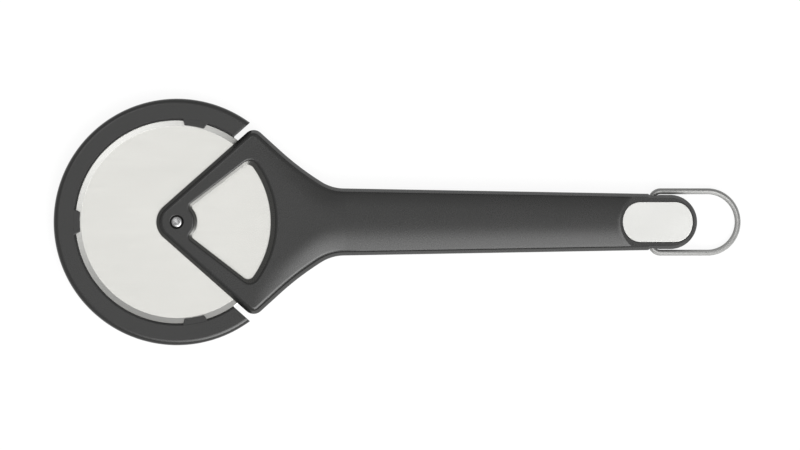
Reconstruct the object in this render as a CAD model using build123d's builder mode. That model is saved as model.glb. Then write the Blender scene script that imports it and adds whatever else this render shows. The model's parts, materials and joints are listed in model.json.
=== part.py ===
from build123d import *
import os
from math import asin, atan2, cos, degrees, radians, sin, sqrt

# Pizza cutter lying on its back: X runs along the handle to the hanging loop, Z up out of the front face.
# Lengths are in millimetres. Places along the handle are counted from the blade's axle.

# Blade
blade_diameter = 100.0
blade_thickness = 1.0
bevel_width = 2.95
edge_thickness = 0.2

# Handle outline
handle_thickness = 15.0
hub_radius = 10.15
fork_angle = 41.5
head_corner_radius = 5.1
head_edge_angle = 42.3
shoulder_radius = 143.0
neck_radius = 21.3
neck_turn = 31.1
throat_length = 31.8
neck_half_width = 16.35
grip_length = 149.9
grip_end_half_width = 13.65
tail_run = 10.1
tail_radius = 13.2

# Handle section
rim_height = 5.3
rim_slope_height = 2.6
rim_slope_width = 1.5
rim_flat = 0.25
crease_width = 0.4
crease_depth = 0.7
crown_radius = 60.0
crown_end_radius = 53.0
crown_land = 0.5
corner_roll = 5.0
corner_drop = 0.15
head_roll = 17.5
head_drop = 0.9
shoulder_land = 3.8
shoulder_drop = 1.95
wall = 3.0
pocket_depth = 3.2
rib_thickness = 1.6

# Window in the head
window_setback = 4.2
window_hub_radius = 10.0
window_angle = 37.6
window_offset = 1.96
window_corner_radius = 3.2
window_hub_corner_radius = 1.2
window_chamfer_width = 2.35
window_chamfer_depth = 4.0

# Axle
sleeve_diameter = 4.2
sleeve_bore = 3.0
bush_diameter = 9.0
washer_diameter = 15.0
washer_thickness = 0.6
rivet_head_diameter = 5.35
rivet_head_height = 1.4
rivet_rim_height = 0.6
rivet_dish_diameter = 3.5
rivet_dish_depth = 0.2
rivet_recess_diameter = 6.7
rivet_bore = 1.6
cap_pin_length = 8.0

# Blade guard
guard_width = 10.05
guard_thickness = 5.0
guard_edge_radius = 2.2
guard_inner_chamfer = 0.4
guard_end_gap = 3.0
tab_reach = 2.75
tab_half_angle = 6.4
tab_slant = 1.2
lip_reach = 1.4
front_tab_angles = (180.0, 79.3, -79.3)
back_tab_angles = (130.0, -130.0)

# Badge
badge_length = 34.27
badge_width = 19.55
badge_corner_radius = 8.5
badge_thickness = 1.0
badge_edge_radius = 0.25
badge_proud = 0.5
badge_margin = 2.1
tape_thickness = 0.4
tape_inset = 1.0

# Hanging loop
wire_diameter = 2.9
pivot_run = 0.7
loop_half_width = 15.05
loop_bend_radius = 4.7
loop_arm = 43.08
loop_grip_depth = 6.2
mouth_flare = 36.0
loop_rest_height = 0.05

# Screws
head_screw_gap = 4.6
head_screw_angle = 30.1
throat_screw_gap = 10.8
neck_screw_run = 31.2
tail_screw_run = 19.4
grip_screw_count = 3
screw_diameter = 2.9
screw_pilot_diameter = 2.5
screw_head_diameter = 5.0
screw_head_height = 1.8
screw_head_edge_radius = 0.6
screw_head_sink = 1.2
screw_reach = 3.4
screw_drive_size = 2.2
screw_drive_depth = 1.0
boss_diameter = 8.0

# Locating pegs of the shells
peg_diameter = 3.0
peg_length = 2.4

# Clearances
blade_edge_clearance = 1.2
washer_clearance = 0.1
running_clearance = 0.05
assembly_clearance = 0.05
guard_clearance = 0.4
tab_clearance = 0.3
badge_clearance = 0.25
screw_clearance = 0.15
peg_clearance = 0.1
end_clearance = 0.3

# Heights above and below the middle of the handle, and radii that follow from the sizes above
half_thickness = handle_thickness / 2
blade_radius = blade_diameter / 2
slot_half = blade_thickness / 2 + washer_thickness + 2 * washer_clearance
slot_radius = blade_radius + blade_edge_clearance
window_radius = blade_radius - window_setback
guard_inner_radius = blade_radius + guard_clearance
guard_radius = guard_inner_radius + guard_width
rivet_seat = half_thickness - rivet_head_height
panel_inset = rim_slope_width + rim_flat + crease_width
wire_radius = wire_diameter / 2

# Places along the handle
neck_x = blade_radius + throat_length
grip_end_x = neck_x + grip_length
tail_x = grip_end_x + tail_run
pivot_x = grip_end_x + pivot_run
loop_droop = asin((half_thickness - wire_radius - loop_rest_height) / loop_arm)
loop_reach = pivot_x + loop_arm * cos(loop_droop) + wire_radius

# The row's origin is below the middle of the whole length, on the face that the cutter lies on
axle_x = guard_radius - (guard_radius + loop_reach) / 2

# Outline of the right-hand edge, from the grip round the neck and the shoulder to the head's corner
taper = atan2(neck_half_width - grip_end_half_width, grip_end_x - neck_x)
neck_end = taper + radians(neck_turn)
shoulder_end = radians(head_edge_angle)
neck_point = Vector(neck_x, neck_half_width)
neck_center = neck_point + Vector(sin(taper), cos(taper)) * neck_radius
shoulder_point = neck_center - Vector(sin(neck_end), cos(neck_end)) * neck_radius
shoulder_center = shoulder_point + Vector(sin(neck_end), cos(neck_end)) * shoulder_radius
head_point = shoulder_center - Vector(sin(shoulder_end), cos(shoulder_end)) * shoulder_radius

# The fork's edge is tangent to the hub and meets the head's edge at the corner
fork = radians(fork_angle)
fork_point = Vector(-sin(fork), cos(fork)) * hub_radius
corner_run = (
    (fork_point.X - head_point.X) * sin(shoulder_end) + (fork_point.Y - head_point.Y) * cos(shoulder_end)
) / sin(fork + shoulder_end)
corner_point = fork_point - Vector(cos(fork), sin(fork)) * corner_run

with BuildSketch() as outline:
    with BuildLine():
        tail_arc = RadiusArc((tail_x + tail_radius, 0), (tail_x, tail_radius), -tail_radius)
        tail_edge = Line(tail_arc @ 1, (grip_end_x, tail_radius))
        step = Line(tail_edge @ 1, (grip_end_x, grip_end_half_width))
        grip_edge = Line(step @ 1, (neck_point.X, neck_point.Y))
        neck_arc = RadiusArc(grip_edge @ 1, (shoulder_point.X, shoulder_point.Y), neck_radius)
        shoulder_arc = RadiusArc(neck_arc @ 1, (head_point.X, head_point.Y), shoulder_radius)
        head_edge = Line(shoulder_arc @ 1, (corner_point.X, corner_point.Y))
        fork_edge = Line(head_edge @ 1, (fork_point.X, fork_point.Y))
        hub_arc = RadiusArc(fork_edge @ 1, (-hub_radius, 0), -hub_radius)
        mirror(about=Plane.XZ)
    make_face()
    corners = outline.vertices().sort_by(Axis.Y)
    fillet([corners[0], corners[-1]], radius=head_corner_radius)

with BuildSketch() as panel_outline:
    add(outline.sketch)
    offset(amount=-panel_inset, mode=Mode.REPLACE)

with BuildSketch() as crease:
    add(outline.sketch)
    offset(amount=-rim_slope_width - rim_flat, mode=Mode.REPLACE)
    add(panel_outline.sketch, mode=Mode.SUBTRACT)

# Opening of the window at the blade: two edges beside the hub, closed by arcs about the axle
window_edge = radians(window_angle)


def window_corner(radius):
    """Point where the window's upper edge meets a circle about the axle."""
    angle = window_edge + asin(window_offset / radius)
    return (radius * cos(angle), radius * sin(angle))


with BuildSketch() as window:
    with BuildLine():
        outer_arc = RadiusArc((window_radius, 0), window_corner(window_radius), -window_radius)
        bar_edge = Line(outer_arc @ 1, window_corner(window_hub_radius))
        inner_arc = RadiusArc(bar_edge @ 1, (window_hub_radius, 0), window_hub_radius)
        mirror(about=Plane.XZ)
    make_face()
    outer_corners = window.vertices().group_by(Axis.Y)
    fillet([outer_corners[0][0], outer_corners[-1][0]], radius=window_corner_radius)
    hub_corners = window.vertices().group_by(Axis.X)[0]
    fillet(hub_corners, radius=window_hub_corner_radius)

# Screws: one on each side of the head, one behind the window and a row down the grip, with pegs between
head_screw_radius = slot_radius + head_screw_gap
head_screw = Vector(head_screw_radius, 0).rotate(Axis.Z, head_screw_angle)
first_screw_x = neck_x + neck_screw_run
last_screw_x = pivot_x - tail_screw_run
screw_pitch = (last_screw_x - first_screw_x) / (grip_screw_count - 1)
row_places = [slot_radius + throat_screw_gap]
row_places += [first_screw_x + k * screw_pitch for k in range(grip_screw_count)]
screw_places = [(head_screw.X, head_screw.Y), (head_screw.X, -head_screw.Y)]
screw_places += [(x, 0) for x in row_places]
peg_places = [(row_places[0] + row_places[1]) / 2, (row_places[-2] + row_places[-1]) / 2]

# Hollow of a shell: inside the walls, clear of the blade's slot and of the tail, between ribs and bosses
pocket_end_x = pivot_x - tail_radius - wall
with BuildSketch() as pocket:
    add(outline.sketch)
    offset(amount=-wall, mode=Mode.REPLACE)
    Circle(slot_radius + wall, mode=Mode.SUBTRACT)
    with Locations((pocket_end_x, 0)):
        Rectangle(tail_x, 4 * tail_radius, align=(Align.MIN, Align.CENTER), mode=Mode.SUBTRACT)
    with Locations(*screw_places):
        Circle(boss_diameter / 2, mode=Mode.SUBTRACT)
    with Locations(*[(x, 0) for x in peg_places]):
        Circle(boss_diameter / 2, mode=Mode.SUBTRACT)
    with Locations(*[(x, 0) for x in row_places + peg_places]):
        Rectangle(rib_thickness, 4 * neck_half_width, mode=Mode.SUBTRACT)


# The crown: flat over the head, rolling off beside the shoulder, a full arc across the grip.
# Each station gives its place, half width, width of the roll-off from the edge inwards, and drop there.
grip_drop = crown_radius - sqrt(crown_radius**2 - neck_half_width**2)
tail_drop = crown_end_radius - sqrt(crown_end_radius**2 - grip_end_half_width**2)
crown_stations = (
    (-2 * hub_radius, corner_point.Y, corner_roll, corner_drop),
    (corner_point.X, corner_point.Y, corner_roll, corner_drop),
    (head_point.X, head_point.Y, head_roll, head_drop),
    (shoulder_point.X, shoulder_point.Y, shoulder_point.Y - shoulder_land, shoulder_drop),
    (neck_x, neck_half_width, neck_half_width - crown_land, grip_drop),
    (grip_end_x, grip_end_half_width, grip_end_half_width - crown_land, tail_drop),
    (tail_x + 2 * tail_radius, grip_end_half_width, grip_end_half_width - crown_land, tail_drop),
)


# The two shells part at the middle of the thickness. Each plane looks out of its own shell's face.
axle_place = (axle_x, 0, half_thickness)
front_side = Plane(axle_place, x_dir=(1, 0, 0), z_dir=(0, 0, 1))
back_side = Plane(axle_place, x_dir=(1, 0, 0), z_dir=(0, 0, -1))
wire_end = tail_radius - loop_grip_depth


def shell_body(parting):
    """One half of the handle, from its parting plane to its face, with what both halves have."""
    with BuildPart() as body:
        # Crowned panel
        for x, width, roll, drop in crown_stations:
            station = Plane((axle_x + x, 0, half_thickness), x_dir=parting.y_dir, z_dir=(1, 0, 0))
            land = width - roll
            arc_radius = (roll**2 + drop**2) / (2 * drop)
            with BuildSketch(station):
                with BuildLine():
                    left = Line((-width, 0), (-width, half_thickness - drop))
                    left_roll = RadiusArc(left @ 1, (-land, half_thickness), arc_radius)
                    top = Line(left_roll @ 1, (land, half_thickness))
                    right_roll = RadiusArc(top @ 1, (width, half_thickness - drop), arc_radius)
                    right = Line(right_roll @ 1, (width, 0))
                    Line(right @ 1, left @ 0)
                make_face()
        loft(ruled=True)
        with BuildSketch(parting):
            add(panel_outline.sketch)
        extrude(amount=handle_thickness, mode=Mode.INTERSECT)
        # Rim with an upright foot and a sloping side, and the crease between rim and panel
        with BuildSketch(parting):
            add(outline.sketch)
        extrude(amount=rim_height - rim_slope_height)
        with BuildSketch(parting.offset(rim_height - rim_slope_height)):
            add(outline.sketch)
        extrude(amount=rim_slope_height, taper=degrees(atan2(rim_slope_width, rim_slope_height)))
        with BuildSketch(parting.offset(rim_height - crease_depth)):
            add(crease.sketch)
        extrude(amount=crease_depth, mode=Mode.SUBTRACT)
        # Slot for the blade
        with BuildSketch(parting):
            Circle(slot_radius)
        extrude(amount=slot_half, mode=Mode.SUBTRACT)
        # Window with its sloping wall
        with BuildSketch(parting):
            add(window.sketch)
        extrude(amount=half_thickness, mode=Mode.SUBTRACT)
        with BuildSketch(parting.offset(half_thickness - window_chamfer_depth)):
            add(window.sketch)
        slope = degrees(atan2(window_chamfer_width, window_chamfer_depth))
        extrude(amount=window_chamfer_depth, taper=-slope, mode=Mode.SUBTRACT)
        # Hollow
        with BuildSketch(parting):
            add(pocket.sketch)
        extrude(amount=pocket_depth, mode=Mode.SUBTRACT)
        # Hole for the sleeve, and the recess for the rivet's head
        with BuildSketch(parting):
            Circle(sleeve_diameter / 2 + assembly_clearance)
        extrude(amount=half_thickness, mode=Mode.SUBTRACT)
        with BuildSketch(parting.offset(rivet_seat)):
            Circle(rivet_recess_diameter / 2)
        extrude(amount=half_thickness, mode=Mode.SUBTRACT)
        # Seats of the hanging loop's ends, each with a flared mouth where the wire bends
        seat_y = wire_end - end_clearance
        mouth_y = loop_half_width - loop_bend_radius
        for way in (1, -1):
            with BuildSketch(Plane((axle_x + pivot_x, way * seat_y, half_thickness), z_dir=(0, way, 0))):
                Circle(wire_radius + running_clearance)
            extrude(amount=tail_radius, mode=Mode.SUBTRACT)
            with BuildSketch(Plane((axle_x + pivot_x, way * mouth_y, half_thickness), z_dir=(0, way, 0))):
                Circle(wire_radius + running_clearance)
            extrude(amount=loop_bend_radius, taper=-mouth_flare, mode=Mode.SUBTRACT)
    return body.part


# Plate outline: straight sides between two arcs, the right one about the tail's centre, and soft corners
badge_end_radius = tail_radius - badge_margin
badge_center = tail_x + badge_end_radius - badge_length / 2
with BuildSketch() as badge_outline:
    with Locations((badge_center, 0)):
        SlotOverall(badge_length, 2 * badge_end_radius)
        Rectangle(badge_length, badge_width, mode=Mode.INTERSECT)
    fillet(badge_outline.vertices(), radius=badge_corner_radius)

badge_seat = rim_height + badge_proud - badge_thickness - tape_thickness

# Front shell
with BuildPart() as front_shell:
    add(shell_body(front_side))
    # Flat pad round the badge, where the crowned panel ends in an arc
    with BuildSketch(front_side.offset(rim_height)):
        with Locations((badge_center - badge_length / 2 + badge_end_radius, 0)):
            Circle(tail_radius)
            Rectangle(badge_length, 4 * tail_radius, align=(Align.MIN, Align.CENTER))
    extrude(amount=half_thickness, mode=Mode.SUBTRACT)
    with BuildSketch(front_side.offset(badge_seat)):
        add(badge_outline.sketch)
        offset(amount=badge_clearance, mode=Mode.REPLACE)
    extrude(amount=half_thickness, mode=Mode.SUBTRACT)
    # Pilot holes for the screws, and the locating pegs
    with BuildSketch(front_side):
        with Locations(*screw_places):
            Circle(screw_pilot_diameter / 2)
    extrude(amount=screw_reach + end_clearance, mode=Mode.SUBTRACT)
    with BuildSketch(front_side):
        with Locations(*[(x, 0) for x in peg_places]):
            Circle(peg_diameter / 2)
    extrude(amount=-peg_length)
front_shell.part.label = "front_shell"

# Back shell
screw_seat = half_thickness - screw_head_sink - screw_head_height
with BuildPart() as back_shell:
    add(shell_body(back_side))
    with BuildSketch(back_side):
        with Locations(*screw_places):
            Circle(screw_diameter / 2 + screw_clearance)
    extrude(amount=half_thickness, mode=Mode.SUBTRACT)
    with BuildSketch(back_side.offset(screw_seat)):
        with Locations(*screw_places):
            Circle(screw_head_diameter / 2 + screw_clearance)
    extrude(amount=half_thickness, mode=Mode.SUBTRACT)
    with BuildSketch(back_side):
        with Locations(*[(x, 0) for x in peg_places]):
            Circle(peg_diameter / 2 + peg_clearance)
    extrude(amount=peg_length + end_clearance, mode=Mode.SUBTRACT)
back_shell.part.label = "back_shell"

# Turned pieces are drawn as half sections beside the axle and revolved about it
axle = Axis(axle_place, (0, 0, 1))
half_section = Plane(axle_place, x_dir=(1, 0, 0), z_dir=(0, -1, 0))

# Blade
with BuildPart() as blade:
    with BuildSketch(half_section):
        with BuildLine():
            Polyline(
                (bush_diameter / 2, -blade_thickness / 2),
                (blade_radius - bevel_width, -blade_thickness / 2),
                (blade_radius, -edge_thickness / 2),
                (blade_radius, edge_thickness / 2),
                (blade_radius - bevel_width, blade_thickness / 2),
                (bush_diameter / 2, blade_thickness / 2),
                close=True,
            )
        make_face()
    revolve(axis=axle)
blade.part.label = "blade"

# Bush in the middle of the blade
with BuildPart() as blade_bush:
    with BuildSketch(front_side.offset(-blade_thickness / 2)):
        Circle(bush_diameter / 2)
        Circle(sleeve_diameter / 2 + running_clearance, mode=Mode.SUBTRACT)
    extrude(amount=blade_thickness)
blade_bush.part.label = "blade_bush"


def washer(side):
    """Slip washer between the blade and one arm of the fork."""
    with BuildPart() as ring:
        with BuildSketch(side.offset(blade_thickness / 2 + washer_clearance)):
            Circle(washer_diameter / 2)
            Circle(sleeve_diameter / 2 + running_clearance, mode=Mode.SUBTRACT)
        extrude(amount=washer_thickness)
    return ring.part


with BuildPart() as front_washer:
    add(washer(front_side))
front_washer.part.label = "front_washer"

with BuildPart() as back_washer:
    add(washer(back_side))
back_washer.part.label = "back_washer"

# Sleeve that keeps the arms of the fork apart
with BuildPart() as axle_sleeve:
    with BuildSketch(front_side):
        Circle(sleeve_diameter / 2)
        Circle(sleeve_bore / 2, mode=Mode.SUBTRACT)
    extrude(amount=rivet_seat, both=True)
axle_sleeve.part.label = "axle_sleeve"


def rivet_head(section):
    """Dished head with its rim rolled over, standing on its seat."""
    dish_radius = rivet_dish_diameter / 2
    roll_foot = rivet_seat + rivet_rim_height
    with BuildPart() as head:
        with BuildSketch(section):
            with BuildLine():
                seat = Line((0, rivet_seat), (rivet_head_diameter / 2, rivet_seat))
                Line(seat @ 1, (rivet_head_diameter / 2, roll_foot))
                roll = EllipticalCenterArc(
                    (dish_radius, roll_foot),
                    rivet_head_diameter / 2 - dish_radius,
                    half_thickness - roll_foot,
                    arc_size=90,
                )
                sphere = (dish_radius**2 + rivet_dish_depth**2) / (2 * rivet_dish_depth)
                dish = RadiusArc(roll @ 1, (0, half_thickness - rivet_dish_depth), sphere)
                Line(dish @ 1, seat @ 0)
            make_face()
        revolve(axis=axle)
    return head.part


# Two-piece rivet: the front half is tubular, and the pin of the back half is pressed into it
with BuildPart() as axle_rivet:
    add(rivet_head(half_section))
    shank_length = 2 * rivet_seat - end_clearance
    with BuildSketch(front_side.offset(rivet_seat - shank_length)):
        Circle(sleeve_bore / 2 - assembly_clearance)
    extrude(amount=shank_length)
    with BuildSketch(front_side.offset(rivet_seat - shank_length)):
        Circle(rivet_bore / 2)
    extrude(amount=cap_pin_length, mode=Mode.SUBTRACT)
axle_rivet.part.label = "axle_rivet"

with BuildPart() as rivet_cap:
    add(rivet_head(Plane(axle_place, x_dir=(1, 0, 0), z_dir=(0, 1, 0))))
    with BuildSketch(back_side.offset(rivet_seat - cap_pin_length)):
        Circle(rivet_bore / 2)
    extrude(amount=cap_pin_length)
rivet_cap.part.label = "rivet_cap"

# Tab of the guard, drawn along X and turned to its place
tab_inner_radius = guard_inner_radius - tab_reach
tab_root_radius = guard_inner_radius + tab_reach / 2

with BuildSketch() as tab:
    with BuildLine():
        tip = CenterArc((0, 0), tab_inner_radius, -tab_half_angle, 2 * tab_half_angle)
        root_half_angle = tab_half_angle + tab_slant
        root = CenterArc((0, 0), tab_root_radius, -root_half_angle, 2 * root_half_angle)
        Line(tip @ 0, root @ 0)
        Line(tip @ 1, root @ 1)
    make_face()

# Mouth of the guard, where the fork comes in
mouth_x = -(hub_radius + guard_end_gap) / sin(fork)
with BuildSketch() as guard_mouth:
    with BuildLine():
        Polyline(
            (mouth_x, 0),
            (mouth_x + 2 * guard_radius * cos(fork), -2 * guard_radius * sin(fork)),
            (mouth_x + 2 * guard_radius * cos(fork), 2 * guard_radius * sin(fork)),
            close=True,
        )
    make_face()

# Blade guard: an open ring with tabs over both faces of the blade and a lip behind its edge
with BuildPart() as blade_guard:
    with BuildSketch(front_side.offset(-guard_thickness / 2)):
        Circle(guard_radius)
        Circle(guard_inner_radius, mode=Mode.SUBTRACT)
        add(guard_mouth.sketch, mode=Mode.SUBTRACT)
    extrude(amount=guard_thickness)
    rings = blade_guard.edges().filter_by(GeomType.CIRCLE).group_by(SortBy.RADIUS)
    fillet(rings[-1], radius=guard_edge_radius)
    rings = blade_guard.edges().filter_by(GeomType.CIRCLE).group_by(SortBy.RADIUS)
    bore = [ring for ring in rings if abs(ring[0].radius - guard_inner_radius) < guard_clearance / 2]
    chamfer(bore[0], length=guard_inner_chamfer)
    tab_bottom = blade_thickness / 2 + tab_clearance
    tab_thickness = guard_thickness / 2 - guard_inner_chamfer - tab_bottom
    for side, angles in ((front_side, front_tab_angles), (back_side, back_tab_angles)):
        with BuildSketch(side.offset(tab_bottom)):
            for angle in angles:
                add(tab.sketch, rotation=angle)
        extrude(amount=tab_thickness)
    with BuildSketch(back_side.offset(tab_bottom)):
        Circle(tab_root_radius)
        Circle(guard_inner_radius - lip_reach, mode=Mode.SUBTRACT)
        add(guard_mouth.sketch, mode=Mode.SUBTRACT)
    extrude(amount=tab_thickness)
blade_guard.part.label = "blade_guard"

# Badge plate and the adhesive pad under it
with BuildPart() as badge_plate:
    with BuildSketch(front_side.offset(badge_seat + tape_thickness)):
        add(badge_outline.sketch)
    extrude(amount=badge_thickness)
    fillet(badge_plate.faces().sort_by(Axis.Z)[-1].edges(), radius=badge_edge_radius)
badge_plate.part.label = "badge_plate"

with BuildPart() as badge_tape:
    with BuildSketch(front_side.offset(badge_seat)):
        add(badge_outline.sketch)
        offset(amount=-tape_inset, mode=Mode.REPLACE)
    extrude(amount=tape_thickness)
badge_tape.part.label = "badge_tape"

# Hanging loop, drooping from its two ends until it lies on the table
loop_plane = Plane(
    (axle_x + pivot_x, 0, half_thickness),
    x_dir=(cos(loop_droop), 0, -sin(loop_droop)),
    z_dir=(sin(loop_droop), 0, cos(loop_droop)),
)
with BuildPart() as hanging_loop:
    with BuildLine(loop_plane):
        wire_start = Line((0, wire_end), (0, loop_half_width - loop_bend_radius))
        bend = RadiusArc(wire_start @ 1, (loop_bend_radius, loop_half_width), loop_bend_radius)
        leg = Line(bend @ 1, (loop_arm - loop_half_width, loop_half_width))
        bow = RadiusArc(leg @ 1, (loop_arm, 0), loop_half_width)
        mirror(about=Plane.XZ)
    with BuildSketch(Plane((axle_x + pivot_x, wire_end, half_thickness), z_dir=(0, 1, 0))):
        Circle(wire_radius)
    sweep()
hanging_loop.part.label = "hanging_loop"

# Screw, drawn at the axle with its head towards the back
with BuildPart() as screw:
    with BuildSketch(back_side.offset(-screw_reach)):
        Circle(screw_diameter / 2)
    extrude(amount=screw_reach + screw_seat)
    with BuildSketch(back_side.offset(screw_seat)):
        Circle(screw_head_diameter / 2)
    extrude(amount=screw_head_height)
    fillet(screw.faces().sort_by(Axis.Z)[0].edges(), radius=screw_head_edge_radius)
    with BuildSketch(back_side.offset(screw_seat + screw_head_height - screw_drive_depth)):
        RegularPolygon(screw_drive_size / 2, 6)
    extrude(amount=screw_drive_depth, mode=Mode.SUBTRACT)

with BuildPart() as shell_screws:
    with Locations(*[(x, y, 0) for x, y in screw_places]):
        add(screw.part)
shell_screws.part.label = "shell_screws"

os.makedirs("parts", exist_ok=True)
export_step(front_shell.part, "parts/front_shell.step")
export_step(back_shell.part, "parts/back_shell.step")
export_step(blade.part, "parts/blade.step")
export_step(blade_bush.part, "parts/blade_bush.step")
export_step(front_washer.part, "parts/front_washer.step")
export_step(back_washer.part, "parts/back_washer.step")
export_step(axle_sleeve.part, "parts/axle_sleeve.step")
export_step(axle_rivet.part, "parts/axle_rivet.step")
export_step(rivet_cap.part, "parts/rivet_cap.step")
export_step(blade_guard.part, "parts/blade_guard.step")
export_step(badge_plate.part, "parts/badge_plate.step")
export_step(badge_tape.part, "parts/badge_tape.step")
export_step(hanging_loop.part, "parts/hanging_loop.step")
export_step(shell_screws.part, "parts/shell_screws.step")
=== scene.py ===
import json
from math import asin, atan2, cos, degrees, hypot, radians, sin, sqrt

import bmesh
import bpy
import numpy as np
from mathutils import Matrix, Vector
from mathutils.geometry import delaunay_2d_cdt


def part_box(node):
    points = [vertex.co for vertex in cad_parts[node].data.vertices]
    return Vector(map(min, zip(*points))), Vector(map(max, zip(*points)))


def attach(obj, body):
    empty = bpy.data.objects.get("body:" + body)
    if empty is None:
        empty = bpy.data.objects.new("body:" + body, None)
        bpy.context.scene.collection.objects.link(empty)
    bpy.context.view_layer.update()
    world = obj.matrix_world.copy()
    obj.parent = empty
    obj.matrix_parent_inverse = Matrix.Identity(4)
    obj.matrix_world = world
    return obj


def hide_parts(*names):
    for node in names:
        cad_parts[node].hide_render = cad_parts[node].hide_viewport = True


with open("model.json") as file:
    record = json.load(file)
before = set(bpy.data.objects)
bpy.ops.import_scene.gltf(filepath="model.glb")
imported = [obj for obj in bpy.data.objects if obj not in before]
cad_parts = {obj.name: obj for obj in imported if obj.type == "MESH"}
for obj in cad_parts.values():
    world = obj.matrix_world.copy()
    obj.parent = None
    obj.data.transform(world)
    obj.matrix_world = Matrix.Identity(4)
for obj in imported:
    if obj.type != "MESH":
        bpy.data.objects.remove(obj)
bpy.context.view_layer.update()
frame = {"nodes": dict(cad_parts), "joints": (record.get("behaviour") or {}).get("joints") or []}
scene = bpy.context.scene

# Pizza cutter lying on its back. Lengths are in millimetres, counted from the blade's axle at the
# middle of the handle's thickness, and a finished mesh is moved from there to its place in metres.

# Blade
# A round disc punched from stainless sheet, its two faces satin brushed in one direction.
# The rim is ground to a bevel on both sides, so its scratches run round the edge.
axle = Vector(next(j["pos_m"] for j in frame["joints"] if j["name"] == "blade_spin"))
to_row = Matrix.Translation(axle) @ Matrix.Scale(0.001, 4)


def half_size(node, side):
    """Half of a CAD node's size along one axis, in millimetres."""
    low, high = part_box(node)
    return (high[side] - low[side]) * 500


blade_radius = half_size("blade", 0)
blade_half = half_size("blade", 2)
bush_radius = half_size("blade_bush", 0)
bevel_width = 2.95
bevel_bend = 0.06
bevel_bend_drop = 0.004
honed_width = 0.3
honed_half = 0.2
honed_bend = 0.03
honed_bend_drop = 0.01
edge_half = 0.06
blade_steps = 288
merge_distance = 0.0005


def placed(name, data):
    """A new object in the scene."""
    thing = bpy.data.objects.new(name, data)
    scene.collection.objects.link(thing)
    return thing


def rough_object(name, places, faces):
    """An object in millimetres about the axle, closed and facing outwards."""
    mesh = bpy.data.meshes.new(name)
    mesh.from_pydata([tuple(p) for p in places], [], [tuple(f) for f in faces])
    work = bmesh.new()
    work.from_mesh(mesh)
    bmesh.ops.remove_doubles(work, verts=work.verts, dist=merge_distance)
    bmesh.ops.recalc_face_normals(work, faces=work.faces)
    work.to_mesh(mesh)
    work.free()
    return placed(name, mesh)


def dress(thing, *finishes):
    """Gives an object its finishes in place of any it had."""
    thing.data.materials.clear()
    for finish in finishes:
        thing.data.materials.append(finish)


def finished(thing, sharp=35):
    """Moves a mesh to its place in the row, smooth up to the sharp angle."""
    thing.data.transform(to_row)
    thing.data.shade_smooth()
    thing.data.set_sharp_from_angle(angle=radians(sharp))
    return thing


def turned(profile, steps):
    """Places and faces of a closed section (radius, height) turned about the axle."""
    turns = np.radians(np.arange(steps) * 360 / steps)
    places = [(r * cos(t), r * sin(t), z) for t in turns for r, z in profile]
    count = len(profile)
    faces = []
    for k in range(steps):
        here, there = k * count, (k + 1) % steps * count
        for i in range(count):
            j = (i + 1) % count
            if profile[i][0] or profile[j][0]:
                faces.append((here + i, there + i, there + j, here + j))
    return places, faces


def add_node(tree, kind, inputs=None, **settings):
    """One node of a tree. Its kind goes without the tree's prefix, and an input is a value or a socket."""
    made = tree.nodes.new(kind if "Node" in kind else tree.bl_idname.replace("Tree", kind))
    for name, value in settings.items():
        setattr(made, name, value)
    for name, value in (inputs or {}).items():
        if isinstance(value, bpy.types.NodeSocket):
            tree.links.new(value, made.inputs[name])
        else:
            made.inputs[name].default_value = value
    return made


def outlet(tree, kind, inputs=None, out=0, **settings):
    """An output of a new node, the first where none is named."""
    return add_node(tree, kind, inputs, **settings).outputs[out]


class Finish:
    """A finish while its nodes are laid, with the space that its grain lies in."""

    def __init__(self, name, **shader_values):
        self.material = bpy.data.materials.new(name)
        self.material.use_nodes = True
        self.tree = self.material.node_tree
        self.shader = self.tree.nodes["Principled BSDF"].inputs
        for socket, value in shader_values.items():
            self.shader[socket.replace("_", " ")].default_value = value
        self.space = outlet(self.tree, "TexCoord", out="Object")

    def ramp(self, driver, low=0, high=1, start=0.3, end=0.7):
        """Turns a noise value into one that runs from low to high."""
        limits = {"Value": driver, "From Min": start, "From Max": end, "To Min": low, "To Max": high}
        return outlet(self.tree, "MapRange", limits)

    def tint(self, driver, dark, light):
        """Colours the shader from dark to light by a noise value."""
        mix = add_node(self.tree, "Mix", data_type="RGBA")
        self.tree.links.new(driver, mix.inputs["Factor"])
        # The colour sockets share their names with the number sockets, so they are taken by type
        colours = [s for s in mix.inputs if s.type == "RGBA"]
        colours[0].default_value = (*dark, 1)
        colours[1].default_value = (*light, 1)
        result = next(s for s in mix.outputs if s.type == "RGBA")
        self.tree.links.new(result, self.shader["Base Color"])

    def relief(self, height, depth, strength=1.0):
        """Small relief of the surface, its depth in metres."""
        bump = outlet(self.tree, "Bump", {"Height": height, "Strength": strength, "Distance": depth})
        self.tree.links.new(bump, self.shader["Normal"])

    def shine(self, driver, roughness):
        """Lets the roughness waver between two values with a noise value."""
        self.tree.links.new(self.ramp(driver, *roughness), self.shader["Roughness"])

    def noise(self, scale, detail=3.0, space=None):
        """Noise drawn out along some axes, by its grains per metre along each."""
        drawn = outlet(self.tree, "Mapping", {"Vector": space or self.space, "Scale": scale})
        return outlet(self.tree, "TexNoise", {"Vector": drawn, "Scale": 1.0, "Detail": detail})

    def reach(self):
        """How far a place is from the axle, in metres."""
        centre = {"Vector": self.space, "Location": (-axle.x, -axle.y, 0), "Scale": (1, 1, 0)}
        flat = outlet(self.tree, "Mapping", centre)
        return outlet(self.tree, "VectorMath", {0: flat}, operation="LENGTH", out="Value")


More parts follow.
